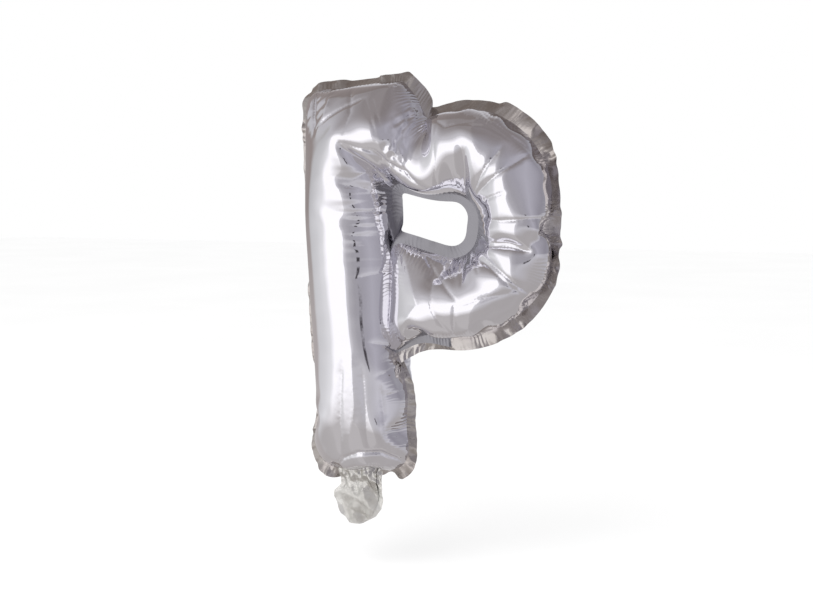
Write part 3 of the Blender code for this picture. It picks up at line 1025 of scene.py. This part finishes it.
def neck_material(name, colour, tint, metallic, alpha):
    """Crumpled neck film: silvered where it leaves the letter, thin and partly clear below."""
    material, tree, shader = blank_material(name)
    place = add(tree, "ShaderNodeTexCoord").outputs["Object"]
    shade = use_group(tree, "shade", Place=place, Colour=colour, Tint=tint, Roughness=0.12, Smudge=0.10)
    ripple = use_group(tree, "ripple", Place=place, Dent_Size=0.008, Wrinkle=1.0)
    lower = remap(tree, height_of(tree, place), SILVERED_TO - 0.003, SILVERED_TO + 0.003, 1.0, 0.0)
    put(tree, shader, Base_Color=shade["Colour"], Roughness=shade["Roughness"],
        Normal=raised(tree, maths(tree, "MULTIPLY", ripple["Height"], 0.6)),
        Metallic=maths(tree, "SUBTRACT", 1.0, maths(tree, "MULTIPLY", lower, 1.0 - metallic)),
        Alpha=maths(tree, "SUBTRACT", 1.0, maths(tree, "MULTIPLY", lower, 1.0 - alpha)))
    return material


def make_materials():
    """The five finishes of the balloon's film, with painted shade in the two margins' darker colours."""
    return {
        "silver": film_material(
            "silver_film_skin", (0.83, 0.82, 0.86, 1), (0.80, 0.79, 0.83, 1), roughness=0.045,
            dent=0.040, wrinkle=0.10, pitch=0.0036, reach=0.030, pleat=0.24, ripple=0.08),
        # The outer margin is the same silver film: its darker brown-grey colour is painted shade and a
        # painted brown reflection.
        "margin": film_material(
            "margin_painted_shade", (0.46, 0.42, 0.40, 1), (0.58, 0.55, 0.53, 1), roughness=0.16,
            dent=0.016, wrinkle=0.7, pitch=0.0042, reach=0.030, pleat=0.12, ripple=0.32),
        # The counter's margin is the same silver film: its dark grey colour is painted shade that dims its
        # reflection of the bright strip.
        "counter": film_material(
            "counter_painted_shade", (0.30, 0.295, 0.32, 1), (0.26, 0.255, 0.27, 1), roughness=0.28,
            dent=0.016, wrinkle=0.4, pitch=0.0036, reach=0.020, pleat=0.08, ripple=0.16),
        "neck": neck_material(
            "neck_skin", (0.56, 0.54, 0.51, 1), (0.70, 0.69, 0.66, 1), metallic=0.55, alpha=0.86),
        "valve": neck_material(
            "valve_skin", (0.62, 0.60, 0.55, 1), (0.70, 0.68, 0.63, 1), metallic=0.0, alpha=0.45)}


# Each piece's material, slot, body (none where it bends across the hinge) and the solid it stands for
DRESSING = (
    ("front_film", "silver", "silver_film", "envelope", "front_panel"),
    ("back_film", "silver", "silver_film", "envelope", "back_panel"),
    ("outer_margin", "margin", "seam_film", "envelope", "outer_seam"),
    ("counter_margin", "counter", "seam_film", "envelope", "counter_seam"),
    ("neck_front", "neck", "neck_film", None, "neck_front_film"),
    ("neck_back", "neck", "neck_film", None, "neck_back_film"),
    ("neck_left_weld", "neck", "neck_film", None, "neck_left_seam"),
    ("neck_right_weld", "neck", "neck_film", None, "neck_right_seam"),
    ("valve_front", "valve", "valve_film", None, "valve_front_film"),
    ("valve_back", "valve", "valve_film", None, "valve_back_film"))


def dress(pieces):
    """Gives each piece its material, body and solid."""
    materials = make_materials()
    for name, material, slot, body, node in DRESSING:
        finish(pieces[name], materials[material], body, node)


def finish(piece, material, body, node):
    """One piece: its material, the solid it stands for, and the body it follows, if it has one."""
    piece.data.materials.clear()
    piece.data.materials.append(material)
    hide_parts(node)
    if body:
        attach(piece, body)
    else:
        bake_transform(piece)


# Studio

def place_camera():
    """The photograph's point of view."""
    camera = bpy.data.cameras.new("camera")
    camera.sensor_fit = "HORIZONTAL"
    camera.sensor_width = 36.0
    camera.lens = VIEW_FOCAL / IMAGE_WIDTH * camera.sensor_width
    camera.shift_x = (IMAGE_WIDTH / 2 - VIEW_MIDDLE[0]) / IMAGE_WIDTH
    camera.shift_y = (VIEW_MIDDLE[1] - IMAGE_HEIGHT / 2) / IMAGE_WIDTH
    camera.clip_start = 0.01
    eye = bpy.data.objects.new("camera", camera)
    bpy.context.scene.collection.objects.link(eye)
    eye.location = around(VIEW_AZIMUTH, VIEW_HEIGHT, VIEW_DISTANCE)
    eye.rotation_euler = (VIEW_TARGET - eye.location).to_track_quat("-Z", "Y").to_euler()
    bpy.context.scene.camera = eye


def around(azimuth, height, distance):
    """A point at an azimuth and height round the letter, in degrees and metres."""
    a, h = math.radians(azimuth), math.radians(height)
    direction = Vector((math.sin(a) * math.cos(h), -math.cos(a) * math.cos(h), math.sin(h)))
    return VIEW_TARGET + distance * direction


def soft_box(name, azimuth, height, distance, size, strength, colour):
    """A large soft lamp that faces the letter."""
    light = bpy.data.lights.new(name, "AREA")
    light.shape = "RECTANGLE"
    light.size, light.size_y = size
    light.energy = strength * math.pi * size[0] * size[1]
    light.color = colour
    lamp = bpy.data.objects.new(name, light)
    bpy.context.scene.collection.objects.link(lamp)
    lamp.location = around(azimuth, height, distance)
    lamp.rotation_euler = (VIEW_TARGET - lamp.location).to_track_quat("-Z", "Y").to_euler()
    lamp.visible_camera = False
    lamp.visible_glossy = False


# The room that the film mirrors: azimuth in degrees from straight ahead, then the wall's red, green and blue
ROOM = (
    (0, 0.60, 0.59, 0.61), (8, 0.40, 0.39, 0.41), (20, 0.33, 0.32, 0.34), (40, 0.33, 0.32, 0.35),
    (60, 0.39, 0.38, 0.42), (110, 0.26, 0.25, 0.28), (170, 0.34, 0.34, 0.36), (186, 0.86, 0.86, 0.88),
    (206, 0.86, 0.86, 0.88), (222, 0.28, 0.25, 0.24), (254, 0.27, 0.235, 0.22), (264, 0.46, 0.46, 0.46),
    (290, 0.54, 0.54, 0.54), (309, 0.66, 0.66, 0.66), (320, 0.98, 0.97, 0.98), (350, 0.98, 0.97, 0.98))
ROOM_STRENGTH = 1.25
STAND_AZIMUTH = 32.0
ROOM_FLOOR = (0.36, 0.34, 0.33, 1)
ROOM_UPPER = (0.46, 0.45, 0.465, 1)
ROOM_CEILING = (0.19, 0.165, 0.155, 1)
STAND_COLOUR = (0.05, 0.045, 0.05, 1)
WHITE = (1, 1, 1, 1)


def studio_world():
    """An evenly white background, and for mirror reflections a pale grey room with a warm floor."""
    world = bpy.data.worlds.new("studio")
    bpy.context.scene.world = world
    world.use_nodes = True
    tree = world.node_tree
    tree.nodes.clear()
    seen = put(tree, add(tree, "ShaderNodeBackground"), Color=WHITE, Strength=1.0)
    mirrored = put(tree, add(tree, "ShaderNodeBackground"), Color=room_colour(tree), Strength=ROOM_STRENGTH)
    path = add(tree, "ShaderNodeLightPath").outputs
    pick = add(tree, "ShaderNodeMixShader")
    put(tree, pick, i0=path["Is Glossy Ray"], i1=seen.outputs[0], i2=mirrored.outputs[0])
    put(tree, add(tree, "ShaderNodeOutputWorld"), Surface=pick.outputs[0])


def room_colour(tree):
    """The mirrored room: its walls by direction, then floor, upper walls, ceiling and a dark stand."""
    direction = add(tree, "ShaderNodeTexCoord").outputs["Generated"]
    split = put(tree, add(tree, "ShaderNodeSeparateXYZ"), Vector=direction)
    up = split.outputs["Z"]
    turn = maths(tree, "ARCTAN2", split.outputs["X"], maths(tree, "MULTIPLY", split.outputs["Y"], -1.0))
    part = maths(tree, "FRACT", maths(tree, "ADD", maths(tree, "DIVIDE", turn, 2 * math.pi), 1.0))
    walls = put(tree, add(tree, "ShaderNodeValToRGB"), Fac=part)
    fill_ramp(walls.color_ramp, ROOM)
    glow = remap(tree, up, -0.20, -0.02, 0.22, 0.0)
    colour = blend_colours(tree, glow, walls.outputs["Color"], WHITE)
    colour = blend_colours(tree, remap(tree, up, 0.20, 0.46, 0.0, 0.9), colour, ROOM_UPPER, "DARKEN")
    below = remap(tree, up, -0.55, -0.24, 1.0, 0.0)
    colour = blend_colours(tree, maths(tree, "MULTIPLY", below, 0.85), colour, ROOM_FLOOR)
    above = remap(tree, up, 0.52, 0.90, 0.0, 1.0)
    colour = blend_colours(tree, maths(tree, "MULTIPLY", above, 0.8), colour, ROOM_CEILING)
    return blend_colours(tree, stand_mask(tree, part, up), colour, STAND_COLOUR)


def stand_mask(tree, part, up):
    """1 on the stand, a narrow post a little below the middle of the view, and 0 round it."""
    beside = maths(tree, "ABSOLUTE", maths(tree, "SUBTRACT", part, STAND_AZIMUTH / 360))
    beside = maths(tree, "SUBTRACT", beside, maths(tree, "MULTIPLY", up, 0.03))
    post = remap(tree, beside, 0.007, 0.013, 1.0, 0.0)
    post = maths(tree, "MULTIPLY", post, remap(tree, up, -0.17, -0.14, 0.0, 1.0))
    return maths(tree, "MULTIPLY", post, remap(tree, up, -0.04, 0.0, 1.0, 0.0))


def fill_ramp(ramp, stops):
    """Sets a colour ramp to stops given as degrees and red, green, blue."""
    for count, (angle, red, green, blue) in enumerate(stops):
        place = angle / 360
        stop = ramp.elements[0] if count == 0 else ramp.elements.new(place)
        stop.position = place
        stop.color = (red, green, blue, 1)
    while len(ramp.elements) > len(stops):
        ramp.elements.remove(ramp.elements[-1])


FLOOR_REACH = 6.0
FLOOR_HEIGHT = -0.262


def pale_floor():
    """A plain pale floor below the neck."""
    mesh = bpy.data.meshes.new("floor")
    signs = ((-1, -1), (1, -1), (1, 1), (-1, 1))
    mesh.from_pydata([(x * FLOOR_REACH, y * FLOOR_REACH, FLOOR_HEIGHT) for x, y in signs], [], [(0, 1, 2, 3)])
    floor = bpy.data.objects.new("floor", mesh)
    bpy.context.scene.collection.objects.link(floor)
    material, tree, shader = blank_material("floor_paper")
    place = add(tree, "ShaderNodeTexCoord").outputs["Object"]
    tone = remap(tree, noise(tree, place, 3.0), 0.3, 0.7, 0.97, 0.99)
    shade = add(tree, "ShaderNodeCombineColor")
    put(tree, shade, Red=tone, Green=tone, Blue=tone)
    put(tree, shader, Base_Color=shade.outputs[0], Roughness=0.95, Specular_IOR_Level=0.0)
    mesh.materials.append(material)
    floor.visible_glossy = False


def build_studio():
    """Camera, lamps, surroundings and floor."""
    place_camera()
    studio_world()
    soft_box("key_box", -14, 40, 1.6, (1.3, 1.3), 1.5, (1.0, 1.0, 1.0))
    pale_floor()
    bpy.context.scene.view_settings.view_transform = "Standard"


# The whole balloon

pieces = blow_up_letter()
pieces.update(make_neck())
dress(pieces)
build_studio()

bpy.context.view_layer.update()
